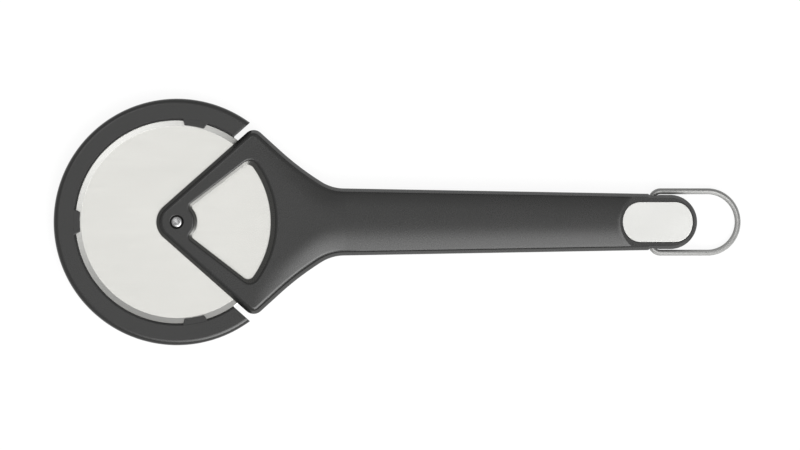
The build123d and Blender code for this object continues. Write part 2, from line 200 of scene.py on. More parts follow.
def brushed_steel(name, dark, light, roughness):
    """Satin steel with fine straight scratches along the cutter."""
    steel = Finish(name, Metallic=1.0)
    scratches = steel.noise(scale=(60, 5200, 5200), detail=4.0)
    clouds = steel.noise(scale=(22, 45, 45), detail=2.0)
    steel.tint(steel.ramp(clouds), dark, light)
    steel.shine(scratches, roughness)
    steel.relief(scratches, depth=0.000004, strength=0.35)
    return steel.material


def ground_steel(name, dark, light, roughness, lean):
    """Steel cut by a grinding wheel: rings of scratches about the axle, whose faces lean inwards."""
    steel = Finish(name, Metallic=1.0)
    reach = steel.reach()
    lines = {"W": reach, "Scale": 7000.0, "Detail": 3.0}
    rings = outlet(steel.tree, "TexNoise", lines, noise_dimensions="1D")
    steel.tint(steel.ramp(rings), dark, light)
    steel.shine(rings, roughness)
    steel.relief(reach, depth=lean)
    return steel.material


blade_finish = brushed_steel(
    "blade_steel", dark=(0.765, 0.76, 0.725), light=(0.785, 0.78, 0.745), roughness=(0.18, 0.24)
)
bevel_finish = ground_steel(
    "bevel_steel", dark=(0.28, 0.279, 0.269), light=(0.32, 0.319, 0.308),
    roughness=(0.35, 0.43), lean=0.28,
)
bevel_start = blade_radius - bevel_width
honed_start = blade_radius - honed_width
fall = (blade_half - honed_half) / (honed_start - bevel_start)
bevel_radii = np.linspace(bevel_start + bevel_bend, honed_start, 6)
upper = [(r, blade_half) for r in np.linspace(bush_radius, bevel_start - bevel_bend, 12)]
upper += [(bevel_start, blade_half - bevel_bend_drop)]
upper += [(r, blade_half - fall * (r - bevel_start)) for r in bevel_radii]
upper += [(honed_start + honed_bend, honed_half - honed_bend_drop), (blade_radius, edge_half)]
blade_section = upper + [(r, -z) for r, z in reversed(upper)]
places, faces = turned(blade_section, blade_steps)
on_bevel = []
for face in faces:
    reaches = [hypot(*places[i][:2]) for i in face]
    past_face = min(reaches) > bevel_start - bevel_bend / 2
    on_bevel.append(int(past_face and max(reaches) < honed_start + honed_bend / 2))
blade = rough_object("cutting_blade", places, faces)
dress(blade, blade_finish, bevel_finish)
blade.data.polygons.foreach_set("material_index", on_bevel)
finished(blade, sharp=3)
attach(blade, "blade")
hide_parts("blade")

# Bush, washers and sleeve
# Turned slip bearings of natural white plastic round a steel sleeve, between the arms of the fork.
# They stay as the solids that they are, and take a waxy finish.


def waxy_plastic(name, dark, light, roughness):
    """Milky bearing plastic with a soft, slightly uneven shine."""
    plastic = Finish(name, Subsurface_Weight=0.15, Subsurface_Radius=(0.001, 0.001, 0.001))
    clouds = plastic.noise(scale=(300, 300, 300))
    plastic.tint(clouds, dark, light)
    plastic.shine(clouds, roughness)
    return plastic.material


bearing_finish = waxy_plastic(
    "bearing_plastic", dark=(0.68, 0.67, 0.62), light=(0.74, 0.73, 0.68), roughness=(0.32, 0.45)
)
sleeve_finish = brushed_steel(
    "sleeve_steel", dark=(0.5, 0.5, 0.5), light=(0.58, 0.58, 0.57), roughness=(0.25, 0.35)
)
for node in ("blade_bush", "front_washer", "back_washer"):
    dress(frame["nodes"][node], bearing_finish)
dress(frame["nodes"]["axle_sleeve"], sleeve_finish)

# Handle shells
# Two halves moulded in dark grey plastic with a fine spark-eroded grain, parted at the middle of the
# thickness. Each has a sloping rim, a thin crease inside it and a crowned panel with a rounded edge.
half_thickness = (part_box("front_shell")[1].z - axle.z) * 1000
hub_radius = 10.08
fork_angle = 41.5
head_corner_radius = 5.1
head_edge_angle = 42.3
shoulder_radius = 143.0
neck_radius = 21.3
neck_turn = 31.1
neck_x = 81.8
neck_half = 16.45
grip_end_x = 231.3
grip_end_half = 13.8
tail_x = 241.68
tail_radius = 13.3
tail_step_x = grip_end_x - 0.3
tail_step_length = 0.9
rim_height = 5.3
rim_foot = 2.7
rim_slope = 1.62
rim_flat = 0.13
rim_lead = 0.05
rim_tip = 0.02
rim_bend = 0.12
rim_bend_drop = 0.21
rim_foot_bend = 0.03
rim_foot_drop = 0.3
rim_inner_drop = 0.08
crease_width = 0.33
crease_depth = 0.7
panel_inset = rim_slope + rim_flat + crease_width
panel_edge_radius = 2.3
panel_edge_turn = 36.0
grip_edge_drop = 0.12
edge_fade_start, edge_fade_end = neck_x - 12, neck_x + 8
parting_chamfer = 0.12

# Key points of the upper edge: each arc is tangent to its neighbours
taper = atan2(neck_half - grip_end_half, grip_end_x - neck_x)
neck_end = taper + radians(neck_turn)
shoulder_end = radians(head_edge_angle)
fork = radians(fork_angle)


def off(point, angle, distance):
    """The point a distance away, at an angle from the Y axis towards X."""
    return point[0] + sin(angle) * distance, point[1] + cos(angle) * distance


neck_center = off((neck_x, neck_half), taper, neck_radius)
shoulder_point = off(neck_center, neck_end, -neck_radius)
shoulder_center = off(shoulder_point, neck_end, shoulder_radius)
head_point = off(shoulder_center, shoulder_end, -shoulder_radius)

# Centre of the head's corner: as far inside the fork's edge as inside the head's edge
head_line = head_point[0] * sin(shoulder_end) + head_point[1] * cos(shoulder_end) - head_corner_radius
fork_line = hub_radius - head_corner_radius
corner_center = (
    (head_line * cos(fork) - fork_line * cos(shoulder_end)) / sin(fork + shoulder_end),
    (head_line * sin(fork) + fork_line * sin(shoulder_end)) / sin(fork + shoulder_end),
)


def arc(center, radius, start, end, steps):
    """Points of an arc between two angles in degrees."""
    turns = np.radians(np.linspace(start, end, steps + 1))
    return np.column_stack((center[0] + radius * np.cos(turns), center[1] + radius * np.sin(turns)))


def straight(start, end, steps):
    """Points of a straight edge, without its two ends."""
    share = np.linspace(0, 1, steps + 1)[1:-1, None]
    return np.array(start) * (1 - share) + np.array(end) * share


def head_edge(inset):
    """Upper edge of the head from the hub to the grip, moved inwards."""
    hub = arc((0, 0), hub_radius - inset, 180, 90 + fork_angle, 16)
    corner = arc(corner_center, head_corner_radius - inset, 90 + fork_angle, 90 - head_edge_angle, 12)
    neck_start = -90 - degrees(neck_end)
    shoulder = arc(shoulder_center, shoulder_radius + inset, -90 - head_edge_angle, neck_start, 30)
    neck = arc(neck_center, neck_radius + inset, neck_start, -90 - degrees(taper), 16)
    fork_side = straight(hub[-1], corner[0], 56)
    head_side = straight(corner[-1], shoulder[0], 18)
    return np.vstack((hub, fork_side, corner, head_side, shoulder, neck[1:]))


def grip_edge(inset, end_x, steps):
    """Upper edge of the grip up to a place, moved inwards."""
    start = off((neck_x, neck_half), taper, -inset)
    end = (end_x, start[1] - (end_x - start[0]) * sin(taper) / cos(taper))
    return np.vstack((straight(start, end, steps), [end]))


def tail_edge(inset):
    """Upper edge of the tail: a soft step down from the grip, then a half round end."""
    share = np.linspace(0, 1, 9)[1:]
    ease = share * share * (3 - 2 * share)
    step_x = tail_step_x + tail_step_length * share
    step_y = grip_end_half + (tail_radius - grip_end_half) * ease - inset
    step = np.column_stack((step_x, step_y))
    side = straight(step[-1], (tail_x, tail_radius - inset), 12)
    end = arc((tail_x, 0), tail_radius - inset, 90, 0, 26)
    return np.vstack((step, side, end))


def closed(*parts):
    """A whole loop from the parts of its upper half, whose ends are on the middle line."""
    upper = np.vstack(parts)
    return np.vstack((upper, upper[-2:0:-1] * (1, -1)))


def handle_loop(inset):
    """The handle's whole outline, moved inwards."""
    return closed(head_edge(inset), grip_edge(inset, tail_step_x, 150), tail_edge(inset))


# Badge pad
# The front panel stops at an arc round the badge, and leaves a flat pad at the height of the rim.
badge_box = [(corner - axle) * 1000 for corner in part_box("badge_plate")]
badge_end_radius = 11.1
badge_overhang = 0.2
pad_center_x = badge_box[0].x - badge_overhang + badge_end_radius
pad_arc_x = pad_center_x + 3.0
pad_arc_radius = 15.3
pad_arc_stretch = 1.4
pad_arc_drop = 0.4


def pad_arc_end(inset):
    """Where the panel's end arc meets its long edge, both moved inwards."""
    radius = pad_arc_radius + (inset - panel_inset) * pad_arc_stretch
    x, y = off((neck_x, neck_half), taper, -inset)
    along = (pad_arc_x - x) * cos(taper) + y * sin(taper)
    aside = y * cos(taper) - (pad_arc_x - x) * sin(taper)
    reach = along - sqrt(radius**2 - aside**2)
    return x + reach * cos(taper), y - reach * sin(taper), radius


pad_arc_steps = 26
grip_steps = 140
crease_fade = 4.0
pocket_edge_radius = 0.05


def panel_loop(inset):
    """Edge of the front panel, which ends at the pad's arc, moved inwards."""
    end_x, end_y, radius = pad_arc_end(inset)
    start = degrees(atan2(end_y, end_x - pad_arc_x))
    end = arc((pad_arc_x, 0), radius, start, 180, pad_arc_steps)
    return closed(head_edge(inset), grip_edge(inset, end_x, grip_steps), end[1:])


# Window in the head: two edges beside the hub, closed by arcs about the axle
window_radius = 45.95
window_hub_radius = 10.0
window_angle = 37.6
window_offset = 1.58
window_corner_radius = 3.2
hub_corner_radius = 1.2
window_slope_width = 2.2
window_far_stretch = 1.73
window_slope_angle = 62.0
window_edge_radius = 1.0
window_lead = 0.12
window_slope_foot = 0.1
window_foot_bend = 0.04
window_foot_drop = 0.15
# The slope is steeper beside the hub: shares of its depth at distances from the axle
window_depth_places = (10.0, 28.0, 43.5, 45.9)
window_depth_shares = (1.14, 1.0, 0.93, 1.0)


def window_loop(outset):
    """Edge of the window, moved outwards, and further along the arc far from the hub."""
    turn = radians(window_angle)

    def corner(reach, radius):
        """Centre of a corner, and its angle about the axle."""
        across = window_offset - radius
        along = sqrt(reach**2 - across**2)
        x, y = along * cos(turn) - across * sin(turn), along * sin(turn) + across * cos(turn)
        return (x, y), degrees(atan2(y, x))

    reach = window_radius + outset * (window_far_stretch - 1)
    far_center, far_turn = corner(reach - window_corner_radius, window_corner_radius)
    near_reach = window_hub_radius + hub_corner_radius
    near_center, near_turn = corner(near_reach, hub_corner_radius)
    square = 90 + window_angle
    hub = arc((0, 0), window_hub_radius - outset, 0, near_turn, 14)
    hub_corner = arc(near_center, hub_corner_radius + outset, near_turn + 180, square, 10)
    far_corner = arc(far_center, window_corner_radius + outset, square, far_turn, 12)
    side = straight(hub_corner[-1], far_corner[0], 36)
    far_arc = arc((0, 0), reach + outset, far_turn, 0, 40)
    return closed(hub, hub_corner[1:], side, far_corner, far_arc[1:])


# The crown: flat over the head, rolling off beside the shoulder, a full arc across the grip.
# Each place along the edge has a width of the roll-off, from the edge inwards, and a drop.
crown_radius = 60.0
crown_end_radius = 46.5
crown_land = 0.5
past_tail_x = grip_end_x + 40
roll_edge = np.vstack((head_edge(0), grip_edge(0, past_tail_x, 700)))
roll_edge = roll_edge[roll_edge[:, 0] > corner_center[0]]
roll_x = roll_edge[:, 0]
grip_half = np.interp(roll_x, (neck_x, grip_end_x), (neck_half, grip_end_half))
roll_places = (36.0, 41.0, 46.0, 52.0, 58.0, 64.0, 70.0, 76.0, 82.0)
roll_drops = (0.08, 0.32, 0.76, 1.07, 1.4, 1.72, 2.0, 2.14, 2.2)
roll_widths = (7.0, 8.5, 10.5, 12.4, 13.2, 13.6, 14.2, 15.0, 15.85)


def eased(places_x, known_x, known):
    """A smooth line through known values."""
    known_x, known = np.array(known_x), np.array(known)
    slopes = np.gradient(known, known_x)
    k = np.clip(np.searchsorted(known_x, places_x) - 1, 0, len(known_x) - 2)
    width = known_x[k + 1] - known_x[k]
    t = np.clip((places_x - known_x[k]) / width, 0, 1)
    return (
        (2 * t**3 - 3 * t**2 + 1) * known[k] + (t**3 - 2 * t**2 + t) * width * slopes[k]
        + (3 * t**2 - 2 * t**3) * known[k + 1] + (t**3 - t**2) * width * slopes[k + 1]
    )


on_grip = roll_x > neck_x
grip_crown = np.interp(roll_x, (neck_x, grip_end_x), (crown_radius, crown_end_radius))
shoulder_drop = eased(roll_x, roll_places, roll_drops)
shoulder_roll = eased(roll_x, roll_places, roll_widths)
edge_drop = np.where(on_grip, grip_half**2 / (2 * grip_crown), shoulder_drop)
edge_roll = np.where(on_grip, grip_half - crown_land, shoulder_roll)
batch = 2000


def crown_height(spots):
    """Height of the panel above the parting plane at places (x, y)."""
    heights = []
    upper_spots = np.abs(spots) * (0, 1) + spots * (1, 0)
    for part in np.array_split(upper_spots, max(1, len(spots) // batch)):
        apart = np.hypot(*(part[:, None] - roll_edge).T)
        nearest = apart.argmin(0)
        roll = np.clip(1 - apart.min(0) / edge_roll[nearest], 0, None)
        heights.append(half_thickness - edge_drop[nearest] * roll**2)
    return np.concatenate(heights)


def inside(spots, loops):
    """Which places lie inside the loops. A loop within a loop is a hole."""
    odd = np.zeros(len(spots), bool)
    for loop in loops:
        for (x0, y0), (x1, y1) in zip(loop, np.roll(loop, -1, 0)):
            if y0 != y1:
                spans = (spots[:, 1] >= min(y0, y1)) & (spots[:, 1] < max(y0, y1))
                odd ^= spans & (spots[:, 0] < x0 + (spots[:, 1] - y0) * (x1 - x0) / (y1 - y0))
    return odd


least_room = 0.55
hull = 0
nearness = 1e-6


class Skin:
    """Places and faces of one moulded piece while it is laid ring by ring."""

    def __init__(self):
        self.places, self.faces = [], []

    def ring(self, loop, heights):
        first = len(self.places)
        heights = np.broadcast_to(heights, len(loop))
        self.places += [(x, y, z) for (x, y), z in zip(loop, heights)]
        return list(range(first, len(self.places)))

    def band(self, one, two):
        for k in range(len(one)):
            j = (k + 1) % len(one)
            self.faces.append((one[k], one[j], two[j], two[k]))

    def wall(self, rows):
        """Rings laid from rows (loop, heights) and joined in turn."""
        rings = [self.ring(loop, heights) for loop, heights in rows]
        for one, two in zip(rings, rings[1:]):
            self.band(one, two)
        return rings

    def fill(self, rings, height=None, pitch=None):
        """Triangles between the rings, with rows of places a pitch apart."""
        numbers, loops, bounds = [], [], []
        for ring in rings:
            loop = np.array([self.places[i][:2] for i in ring])
            after = np.roll(loop, -1, 0)
            order = range(len(numbers), len(numbers) + len(ring))
            turns_left = np.sum(loop[:, 0] * after[:, 1] - loop[:, 1] * after[:, 0]) > 0
            bounds.append(list(order if turns_left else reversed(order)))
            loops.append(loop)
            numbers += ring
        spots = np.vstack(loops)
        if pitch:
            low, high = spots.min(0), spots.max(0)
            rows = np.arange(low[1], high[1], pitch * sqrt(3) / 2)
            grid = np.array([(x + (k % 2) * pitch / 2, y) for k, y in enumerate(rows)
                             for x in np.arange(low[0], high[0], pitch)])
            grid = grid[inside(grid, loops)]
            room = np.array([np.hypot(*(spots - g).T).min() for g in grid])
            grid = grid[room > pitch * least_room]
            numbers += self.ring(grid, height(grid))
            spots = np.vstack((spots, grid))
        spots = [Vector(s) for s in spots]
        _, _, triangles, sources, _, owners = delaunay_2d_cdt(spots, [], bounds, hull, nearness)
        for triangle, owner in zip(triangles, owners):
            if len(owner) % 2:
                self.faces.append([numbers[sources[i][0]] for i in triangle])


rivet_recess_radius = 3.35
rivet_seat_radius = 2.85
rivet_recess_depth = 1.4
rivet_seat = half_thickness - rivet_recess_depth
axle_hole_radius = 2.15
recess_edge_radius = 0.3
hole_edge_radius = 0.25
badge_clearance = 0.25
badge_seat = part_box("badge_tape")[0].z * 1000 - axle.z * 1000
screw_sink = 1.2
screw_head_height = 1.8
screw_recess_radius = 2.65
screw_seat = half_thickness - screw_sink - screw_head_height
head_screw_reach = 55.8
head_screw_turns = np.radians((30.1, -30.1))
screw_places = [(head_screw_reach * cos(t), head_screw_reach * sin(t)) for t in head_screw_turns]
screw_places += [(x, 0.0) for x in (62.0, 113.0, 163.0, 213.0)]
grid_pitch = 1.1
flat_lead = 0.08
pocket_lead = 0.02


def rounded(radius, steps, lead=flat_lead, turn=90):
    """Profile (outwards, down) of a rounded edge. A lead inside the flat face keeps its shading flat."""
    turns = np.radians(np.linspace(0, turn, steps + 1))
    return [(-lead, 0.0)] + [(radius * sin(t), radius * (1 - cos(t))) for t in turns]


def circle(center, radius, steps):
    """Points of a whole circle."""
    return arc(center, radius, 0, 360, steps)[:-1]


badge_corner_radius = 8.5
corner_up = badge_box[1].y - badge_corner_radius
corner_back = sqrt((badge_end_radius - badge_corner_radius)**2 - corner_up**2)
corner_turn = degrees(atan2(corner_up, corner_back))


def badge_loop(outset):
    """Outline of the badge: round ends and soft corners, moved outwards."""
    radius, corner = badge_end_radius + outset, badge_corner_radius + outset
    left = arc((pad_center_x, 0), radius, 180, 180 - corner_turn, 12)
    left_corner = arc((pad_center_x - corner_back, corner_up), corner, 180 - corner_turn, 90, 14)
    right_corner = arc((tail_x + corner_back, corner_up), corner, 90, corner_turn, 14)
    right = arc((tail_x, 0), radius, corner_turn, 0, 12)
    side = straight(left_corner[-1], right_corner[0], 16)
    return closed(left, left_corner[1:], side, right_corner, right[1:])


def shell(front):
    """One half of the handle, drawn face up."""
    skin = Skin()
    panel = panel_loop if front else handle_loop
    # Height of the crease's floor round the panel. It fades out where the front panel ends at the pad
    end_x = pad_arc_end(panel_inset)[0]

    def crease_floor(loop):
        share = np.clip((end_x - loop[:, 0]) / crease_fade, 0, 1) if front else np.ones(len(loop))
        return rim_height - crease_depth * share

    foot = panel(panel_inset)
    foot_height = crease_floor(foot)
    # Panel with its rounded edge, which is nearly sharp beside the grip and flatter at the pad
    drop = np.interp(foot[:, 0], (edge_fade_start, edge_fade_end), (1, grip_edge_drop))
    if front:
        straight_count = len(head_edge(0)) + grip_steps
        at_pad = slice(straight_count - 1, len(foot) - straight_count + 2)
        foot_height[at_pad] = rim_height
        drop[at_pad] = pad_arc_drop
    rows = []
    edge = rounded(panel_edge_radius, 9, turn=panel_edge_turn)
    for out, down in edge:
        loop = panel(panel_inset + edge[-1][0] - out)
        rows.append((loop, crown_height(loop) - down * drop))
    crest = skin.wall(rows)
    # Window: rounded top edge, sloping wall, straight wall down to the parting plane
    slope = radians(window_slope_angle)
    deeper = np.hypot(*(window_loop(1.0) - window_loop(0.0)).T)
    deeper = deeper * np.interp(np.hypot(*window_loop(0.0).T), window_depth_places, window_depth_shares)
    top = window_loop(window_slope_width + window_lead)
    rows = [(top, crown_height(top))]
    for t in np.linspace(0, slope, 8):
        outset = window_slope_width - window_edge_radius * sin(t)
        loop = window_loop(outset)
        rows.append((loop, crown_height(loop) - window_edge_radius * (1 - cos(t)) * deeper))
    fall = sin(slope) / cos(slope)
    depth = window_edge_radius * (1 - cos(slope)) + outset * fall
    # Places just inside both ends of the slope keep its shading flat
    on_slope = (outset - flat_lead, flat_lead * 2, window_slope_foot)
    drops = [(place, depth - place * fall) for place in on_slope]
    drops += [(window_foot_bend, depth - window_foot_bend / 2 * fall), (0.0, depth + window_foot_drop)]
    rows += [(window_loop(place), half_thickness - down * deeper) for place, down in drops]
    window = skin.wall(rows + [(window_loop(0), 0.0)])
    # Recess of the rivet and the hole for the sleeve
    recess_edge = rivet_recess_radius + recess_edge_radius
    spots = [(recess_edge - out, half_thickness - down) for out, down in rounded(recess_edge_radius, 4)]
    spots += [(rivet_seat_radius, rivet_seat), (axle_hole_radius, rivet_seat), (axle_hole_radius, 0)]
    recess = skin.wall([(circle((0, 0), r, 64), z) for r, z in spots])
    holes = [window[0], recess[0]]
    # Counterbores of the screws
    for center in () if front else screw_places:
        rows = []
        for out, down in rounded(hole_edge_radius, 4):
            loop = circle(center, screw_recess_radius + hole_edge_radius - out, 40)
            rows.append((loop, crown_height(loop) - down))
        bore = skin.wall(rows + [(circle(center, screw_recess_radius, 40), screw_seat)])
        skin.faces.append(bore[-1])
        holes.append(bore[0])
    skin.fill([crest[0], *holes], crown_height, grid_pitch)
    # Rim: inner edge, flat, outer edge and sloping side down to the parting plane
    rim_edge = rim_slope + rim_flat
    inner = handle_loop(rim_edge)
    gap = skin.ring(inner, crease_floor(inner))
    rows = [(inner, np.maximum(rim_height - rim_inner_drop, crease_floor(inner)))]
    for inset, height in (
        (rim_edge - rim_lead, rim_height),
        (rim_slope + rim_lead, rim_height),
        (rim_slope - rim_tip, rim_height - rim_lead),
        (rim_slope - rim_bend, rim_height - rim_bend_drop),
        (rim_bend, rim_foot + rim_bend_drop),
        (rim_foot_bend, rim_foot),
        (0.0, rim_foot - rim_foot_drop),
        (0.0, parting_chamfer),
        (parting_chamfer, 0.0),
    ):
        rows.append((handle_loop(inset), height))
    rim = skin.wall(rows)
    skin.fill([rim[-1], window[-1], recess[-1]])
    # Crease between the rim and the panel, and the pad with the badge's pocket
    floor = skin.ring(foot, foot_height)
    skin.band(gap, rim[0])
    skin.band(crest[-1], floor)
    pocket = []
    if front:
        rows = []
        for out, down in rounded(pocket_edge_radius, 3, pocket_lead):
            rows.append((badge_loop(badge_clearance + pocket_edge_radius - out), rim_height - down))
        pocket = skin.wall(rows + [(badge_loop(badge_clearance), badge_seat)])
        skin.fill([pocket[-1]])
    skin.fill([gap, floor, *pocket[:1]])
    return skin


def moulded_plastic(name, dark, light, roughness, grain):
    """Dark grey plastic with the fine, even grain of a spark-eroded mould."""
    plastic = Finish(name, Specular_IOR_Level=0.5)
    clouds = plastic.noise(scale=(35, 35, 35), detail=4.0)
    pits = plastic.noise(scale=(2600, 2600, 2600), detail=2.0)
    plastic.tint(plastic.ramp(clouds), dark, light)
    plastic.shine(pits, roughness)
    plastic.relief(pits, depth=0.00002, strength=grain)
    return plastic.material


slot_radius = 51.2
slot_half = 1.3
wire_radius = 1.45
wire_clearance = 0.05
seat_radius = wire_radius + wire_clearance
seat_overlap = 0.1
pivot_x = 232.4
seat_y = 6.7
loop_half = 15.05
loop_bend_radius = 4.7
mouth_y = loop_half - loop_bend_radius
mouth_flare = radians(37.4)
mouth_radius = seat_radius + loop_bend_radius * sin(mouth_flare) / cos(mouth_flare)
mouth_lean_share = 0.62
mouth_lean = mouth_lean_share * (mouth_radius - seat_radius)


def rod(start, end, along, steps, lean=0.0):
    """A round rod along Z, or along Y at the loop's pivot. Its ends are (radius, place), and one may lean."""
    half_step = 180 / steps
    rows = []
    for (radius, reach), shift in ((start, 0), (end, lean)):
        rows.append((arc((shift, 0), radius, half_step, 360 + half_step, steps)[:-1], reach))
    skin = Skin()
    skin.faces += skin.wall(rows)
    places = skin.places if along == "Z" else [(pivot_x + x, z, y) for x, y, z in skin.places]
    return rough_object("rod", places, skin.faces)


def plain_mesh(thing):
    """The mesh of an object as its modifiers make it."""
    scene.view_layers[0].update()
    return bpy.data.meshes.new_from_object(thing.evaluated_get(bpy.context.evaluated_depsgraph_get()))


def cut(thing, tool):
    """Cuts a tool body out of a piece and removes the tool. A small face lost in the cut is closed."""
    saw = thing.modifiers.new("cut", "BOOLEAN")
    saw.solver = "EXACT"
    saw.object = tool
    done = plain_mesh(thing)
    thing.modifiers.remove(saw)
    work = bmesh.new()
    work.from_mesh(done)
    bmesh.ops.holes_fill(work, edges=[edge for edge in work.edges if edge.is_boundary])
    bmesh.ops.recalc_face_normals(work, faces=work.faces)
    work.to_mesh(done)
    work.free()
    thing.data = done
    bpy.data.objects.remove(tool)


handle_finish = moulded_plastic(
    "handle_plastic", dark=(0.0125, 0.0125, 0.012), light=(0.0145, 0.0145, 0.014),
    roughness=(0.25, 0.31), grain=0.1,
)
for node, front in (("front_shell", True), ("back_shell", False)):
    skin = shell(front)
    side = 1 if front else -1
    places = [(x, y, z * side) for x, y, z in skin.places]
    half = rough_object(node.replace("_shell", "_half"), places, skin.faces)
    dress(half, handle_finish)
    cut(half, rod((slot_radius, -slot_half), (slot_radius, slot_half), "Z", 240))
    for way in (1, -1):
        seat_end = (seat_radius, way * (mouth_y + seat_overlap))
        cut(half, rod((seat_radius, way * seat_y), seat_end, "Y", 48))
        mouth = (mouth_radius, way * loop_half)
        cut(half, rod((seat_radius, way * mouth_y), mouth, "Y", 48, mouth_lean))
    finished(half)
    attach(half, "handle")
    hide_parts(node)

# Badge plate
# A stamped plate of satin stainless sheet with soft edges, its face left bare.
# A pad of dark adhesive foam holds it in the pocket of the tail.
badge_edge_radius = 0.15
plate_foot, plate_top = badge_box[0].z, badge_box[1].z
skin = Skin()
rows = [(badge_loop(0), plate_foot)]
for out, down in reversed(rounded(badge_edge_radius, 5)):
    rows.append((badge_loop(out - badge_edge_radius), plate_top - down))
plate = skin.wall(rows)
skin.fill([plate[0]])
skin.fill([plate[-1]])
plate_finish = brushed_steel(
    "badge_steel", dark=(0.485, 0.485, 0.47), light=(0.52, 0.52, 0.505), roughness=(0.37, 0.43)
)
badge = rough_object("badge", skin.places, skin.faces)
dress(badge, plate_finish)
finished(badge, sharp=40)
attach(badge, "handle")
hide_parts("badge_plate")


def foam_pad(name, dark, light):
    """Dark foam with open cells."""
    foam = Finish(name, Roughness=0.85)
    cells = outlet(foam.tree, "TexVoronoi", {"Vector": foam.space, "Scale": 4500.0})
    foam.tint(cells, dark, light)
    foam.relief(cells, depth=0.00005, strength=0.5)
    return foam.material


foam_finish = foam_pad("tape_foam", dark=(0.02, 0.02, 0.02), light=(0.05, 0.05, 0.05))
dress(frame["nodes"]["badge_tape"], foam_finish)

# Axle rivet
# A two-piece steel rivet: each head is dished in the middle and rolled over at its rim, and sits in a
# round recess of its shell. The front half is a tube, and the pin of the back half is pressed into it.
rivet_rim_spread = 0.12
rivet_head_radius = half_size("axle_rivet", 0) + rivet_rim_spread
rivet_crest_radius = 1.5
rivet_dish_depth = 0.12
rivet_dish_curve = 1.3
rivet_roll_height = 0.97
rivet_shank_radius = 1.45
rivet_shank_end = -5.8
rivet_bore_radius = 0.8
rivet_bore_end = 2.2
cap_pin_end = -1.9


def rivet_head():
    """Section of a head from its middle over the rolled rim down to its seat."""
    section = []
    for share in np.linspace(0, 0.9, 8):
        dish = rivet_dish_depth * (1 - share**rivet_dish_curve)
        section.append((rivet_crest_radius * share, half_thickness - dish))
    roll = rivet_head_radius - rivet_crest_radius
    for t in np.radians(np.linspace(0, 90, 10)):
        height = half_thickness - rivet_roll_height * (1 - cos(t))
        section.append((rivet_crest_radius + roll * sin(t), height))
    return section + [(rivet_head_radius, rivet_seat)]


def steel_with_painted_shade(name, ring, middle, roughness):
    """Steel rolled over by a spinning tool, coloured with painted shade in a darker ring inside the rim and a
    painted highlight on the rim.
    """
    steel = Finish(name, Metallic=1.0)
    reach = steel.reach()
    within = steel.ramp(reach, 1, 0, shade_ring_start, shade_ring_end)
    rim_highlight = steel.ramp(reach, 0, painted_highlight, highlight_start, highlight_end)
    painted_light = outlet(steel.tree, "Math", {0: within, 1: rim_highlight}, operation="MAXIMUM")
    steel.tint(painted_light, ring, middle)
    steel.shine(steel.noise(scale=(2500, 2500, 2500)), roughness)
    return steel.material


# Painted shade and painted highlight on the rivet heads: the colour darkens to the ring colour from 0.2 to
# 0.8 mm off the axle, and a lighter band is painted on the rim from 1.6 to 2.1 mm.
shade_ring_start, shade_ring_end = 0.0002, 0.0008
highlight_start, highlight_end, painted_highlight = 0.0016, 0.0021, 0.6
rivet_finish = steel_with_painted_shade(
    "rivet_steel", ring=(0.27, 0.27, 0.27), middle=(0.53, 0.53, 0.53), roughness=(0.22, 0.32)
)
front_shank = [
    (rivet_shank_radius, rivet_seat), (rivet_shank_radius, rivet_shank_end),
    (rivet_bore_radius, rivet_shank_end), (rivet_bore_radius, rivet_bore_end), (0, rivet_bore_end),
]
cap_pin = [(rivet_bore_radius, rivet_seat), (rivet_bore_radius, cap_pin_end), (0, cap_pin_end)]
rivet_halves = (("rivet", "axle_rivet", front_shank, 1), ("rivet_back", "rivet_cap", cap_pin, -1))
for name, node, shank, side in rivet_halves:
    places, faces = turned(rivet_head() + shank, 72)
    head = rough_object(name, [(x, y, z * side) for x, y, z in places], faces)
    dress(head, rivet_finish)
    finished(head)
    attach(head, "handle")
    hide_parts(node)

# Shell screws
# Six small plated steel screws with a hexagon socket, driven from the back through the back shell into
# the front one. Each head sits below the face in its own counterbore.
screw_head_radius = 2.5
screw_shank_radius = 1.45
screw_head_edge = 0.6
screw_reach = 3.4
screw_point_length = 0.7
screw_point_taper = 0.6
socket_radius = 1.1
socket_depth = 1.0
socket_floor_share = 0.97
socket_floor_bend = 0.05
socket_chamfer = 0.08
screw_sides = 36


def node_tree(name, **sockets):
    """An empty tree of geometry nodes with named inputs, and its two ends."""
    tree = bpy.data.node_groups.new(name, "GeometryNodeTree")
    tree.interface.new_socket("Geometry", in_out="OUTPUT", socket_type="NodeSocketGeometry")
    for socket, kind in {"Geometry": "Geometry", **sockets}.items():
        tree.interface.new_socket(socket, in_out="INPUT", socket_type="NodeSocket" + kind)
    return tree, add_node(tree, "NodeGroupInput").outputs, add_node(tree, "NodeGroupOutput").inputs


def tree_end(tree, geometry, finish, result):
    """Ends a tree: real geometry in its finish."""
    real = outlet(tree, "RealizeInstances", {"Geometry": geometry})
    dressed = outlet(tree, "SetMaterial", {"Geometry": real, "Material": finish})
    tree.links.new(dressed, result["Geometry"])


def grown(thing, tree, **values):
    """Runs a tree on an object and puts a plain mesh object in its place."""
    modifier = thing.modifiers.new(tree.name, "NODES")
    modifier.node_group = tree
    for socket in tree.interface.items_tree:
        if socket.name in values:
            modifier[socket.identifier] = values[socket.name]
    mesh = plain_mesh(thing)
    thing.modifiers.remove(modifier)
    name = thing.name
    bpy.data.objects.remove(thing)
    return placed(name, mesh)


def capped(name, rows):
    """A closed object from rows (loop, heights), with flat ends."""
    skin = Skin()
    rings = skin.wall(rows)
    skin.faces += [rings[0], rings[-1]]
    return rough_object(name, skin.places, skin.faces)


